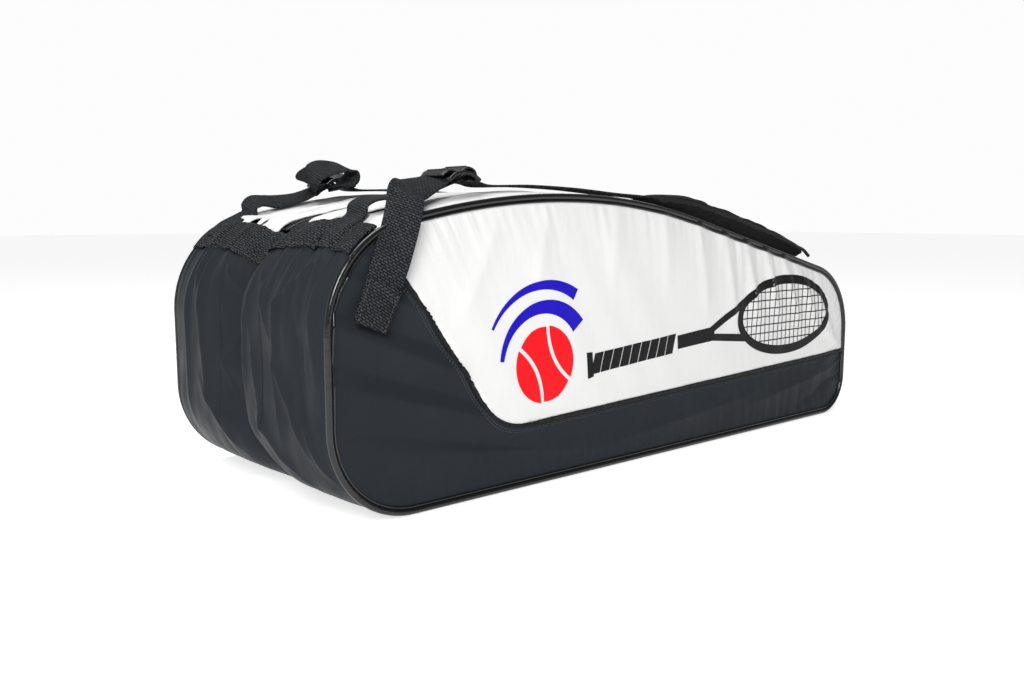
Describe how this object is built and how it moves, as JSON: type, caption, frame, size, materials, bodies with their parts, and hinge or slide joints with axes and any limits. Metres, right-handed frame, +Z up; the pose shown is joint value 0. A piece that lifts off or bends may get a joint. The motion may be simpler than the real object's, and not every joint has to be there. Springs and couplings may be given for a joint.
{
  "type": "racket tournament bag",
  "caption": "Long three-compartment racket bag with a low rounded nose, lengthwise zips along the curved top, piped side panels and padded shoulder straps.",
  "frame": {"origin": "middle of the footprint, on the surface that the base rests on", "axes": "+X along the length towards the low nose end, +Z up, -Y towards the front side panel"},
  "size_m": [0.79, 0.309, 0.3124],
  "materials": {
    "white_fabric": "satin coated",
    "charcoal_fabric": "matte coated",
    "black_webbing": "ribbed weave",
    "black_padding": "woven over foam",
    "black_piping": "glossy",
    "black_binding": "ribbed tape",
    "zip_tape": "woven tape with coil",
    "zip_metal": "black enamel",
    "divider_lining": "smooth lining",
    "base_board": "moulded sheet",
    "lock_plastic": "moulded"
  },
  "bodies": {
    "root": {"middle_base": "charcoal_fabric", "middle_base_board": "base_board", "middle_tall_gusset": "charcoal_fabric", "middle_nose_gusset": "charcoal_fabric", "middle_end_band": "black_webbing", "middle_top_strip_b": "white_fabric", "middle_zip_tape_b": "zip_tape", "back_base": "charcoal_fabric", "back_base_board": "base_board", "back_divider": "divider_lining", "back_tall_gusset": "charcoal_fabric", "back_nose_gusset": "charcoal_fabric", "back_end_band": "black_webbing", "back_top_strip_a": "white_fabric", "back_zip_tape_a": "zip_tape"},
    "front_unit": {"front_base": "charcoal_fabric", "front_base_board": "base_board", "front_divider": "divider_lining", "front_tall_gusset": "charcoal_fabric", "front_nose_gusset": "charcoal_fabric", "front_end_band": "black_webbing", "middle_top_strip_a": "white_fabric", "middle_zip_tape_a": "zip_tape", "front_top_strip_b": "white_fabric", "front_zip_tape_b": "zip_tape"},
    "front_cover": {"front_side_upper": "white_fabric", "front_side_lower": "charcoal_fabric", "front_side_piping": "black_piping", "front_seam_binding": "black_binding", "front_top_strip_a": "white_fabric", "front_zip_tape_a": "zip_tape", "front_strap_anchor": "black_webbing", "front_strap_webbing": "black_webbing", "front_strap_tail": "black_webbing"},
    "back_cover": {"back_side_upper": "white_fabric", "back_side_lower": "charcoal_fabric", "back_side_piping": "black_piping", "back_seam_binding": "black_binding", "back_top_strip_b": "white_fabric", "back_zip_tape_b": "zip_tape", "back_strap_anchor": "black_webbing", "back_strap_webbing": "black_webbing", "back_strap_tail": "black_webbing"},
    "front_strap": {"front_strap_pad": "black_padding"},
    "front_lock": {"front_ladder_lock": "lock_plastic"},
    "back_strap": {"back_strap_pad": "black_padding"},
    "back_lock": {"back_ladder_lock": "lock_plastic"},
    "front_tall_slider": {"front_zip_tall_slider": "zip_metal"},
    "front_tall_pull": {"front_zip_tall_pull": "zip_metal"},
    "front_nose_slider": {"front_zip_nose_slider": "zip_metal"},
    "front_nose_pull": {"front_zip_nose_pull": "zip_metal"},
    "middle_tall_slider": {"middle_zip_tall_slider": "zip_metal"},
    "middle_tall_pull": {"middle_zip_tall_pull": "zip_metal"},
    "middle_nose_slider": {"middle_zip_nose_slider": "zip_metal"},
    "middle_nose_pull": {"middle_zip_nose_pull": "zip_metal"},
    "back_tall_slider": {"back_zip_tall_slider": "zip_metal"},
    "back_tall_pull": {"back_zip_tall_pull": "zip_metal"},
    "back_nose_slider": {"back_zip_nose_slider": "zip_metal"},
    "back_nose_pull": {"back_zip_nose_pull": "zip_metal"}
  },
  "joints": [
    {"name": "front_unit_tip", "type": "hinge", "parent": "root", "child": "front_unit", "pos_m": [0, -0.1515, 0], "axis": [1, 0, 0], "range_deg": [0, 12]},
    {"name": "front_cover_open", "type": "hinge", "parent": "front_unit", "child": "front_cover", "pos_m": [0, -0.1515, 0], "axis": [1, 0, 0], "range_deg": [0, 18]},
    {"name": "back_cover_open", "type": "hinge", "parent": "root", "child": "back_cover", "pos_m": [0, 0.1545, 0], "axis": [-1, 0, 0], "range_deg": [0, 18]},
    {"name": "front_strap_lift", "type": "hinge", "parent": "front_cover", "child": "front_strap", "pos_m": [0.3226, -0.1095, 0.1989], "axis": [0, 1, 0], "range_deg": [0, 12], "deforming": ["front_strap_webbing", "front_strap_tail"]},
    {"name": "front_lock_tilt", "type": "hinge", "parent": "front_strap", "child": "front_lock", "pos_m": [-0.214, -0.1095, 0.2931], "axis": [0, 1, 0], "range_deg": [0, 30]},
    {"name": "back_strap_lift", "type": "hinge", "parent": "back_cover", "child": "back_strap", "pos_m": [0.3226, 0.1125, 0.1989], "axis": [0, 1, 0], "range_deg": [0, 12], "deforming": ["back_strap_webbing", "back_strap_tail"]},
    {"name": "back_lock_tilt", "type": "hinge", "parent": "back_strap", "child": "back_lock", "pos_m": [-0.214, 0.1125, 0.2931], "axis": [0, 1, 0], "range_deg": [0, 30]},
    {"name": "front_tall_slider_run", "type": "hinge", "parent": "front_cover", "child": "front_tall_slider", "pos_m": [-0.125, -0.0735, -0.569], "axis": [0, -1, 0], "range_deg": [0, 25.5]},
    {"name": "front_tall_pull_flip", "type": "hinge", "parent": "front_tall_slider", "child": "front_tall_pull", "pos_m": [0.05886, -0.0735, 0.26807], "axis": [0, 1, 0], "range_deg": [0, 95]},
    {"name": "front_nose_slider_run", "type": "slide", "parent": "front_cover", "child": "front_nose_slider", "axis": [0.9711, 0, -0.2385], "range_m": [0, 0.228]},
    {"name": "front_nose_pull_flip", "type": "hinge", "parent": "front_nose_slider", "child": "front_nose_pull", "pos_m": [0.09982, -0.0735, 0.25825], "axis": [0, -1, 0], "range_deg": [0, 95]},
    {"name": "middle_tall_slider_run", "type": "hinge", "parent": "front_unit", "child": "middle_tall_slider", "pos_m": [-0.125, 0.0015, -0.569], "axis": [0, -1, 0], "range_deg": [0, 25.5]},
    {"name": "middle_tall_pull_flip", "type": "hinge", "parent": "middle_tall_slider", "child": "middle_tall_pull", "pos_m": [0.05886, 0.0015, 0.26807], "axis": [0, 1, 0], "range_deg": [0, 95]},
    {"name": "middle_nose_slider_run", "type": "slide", "parent": "front_unit", "child": "middle_nose_slider", "axis": [0.9711, 0, -0.2385], "range_m": [0, 0.228]},
    {"name": "middle_nose_pull_flip", "type": "hinge", "parent": "middle_nose_slider", "child": "middle_nose_pull", "pos_m": [0.09982, 0.0015, 0.25825], "axis": [0, -1, 0], "range_deg": [0, 95]},
    {"name": "back_tall_slider_run", "type": "hinge", "parent": "back_cover", "child": "back_tall_slider", "pos_m": [-0.125, 0.0765, -0.569], "axis": [0, -1, 0], "range_deg": [0, 25.5]},
    {"name": "back_tall_pull_flip", "type": "hinge", "parent": "back_tall_slider", "child": "back_tall_pull", "pos_m": [0.05886, 0.0765, 0.26807], "axis": [0, 1, 0], "range_deg": [0, 95]},
    {"name": "back_nose_slider_run", "type": "slide", "parent": "back_cover", "child": "back_nose_slider", "axis": [0.9711, 0, -0.2385], "range_m": [0, 0.228]},
    {"name": "back_nose_pull_flip", "type": "hinge", "parent": "back_nose_slider", "child": "back_nose_pull", "pos_m": [0.09982, 0.0765, 0.25825], "axis": [0, -1, 0], "range_deg": [0, 95]}
  ]
}
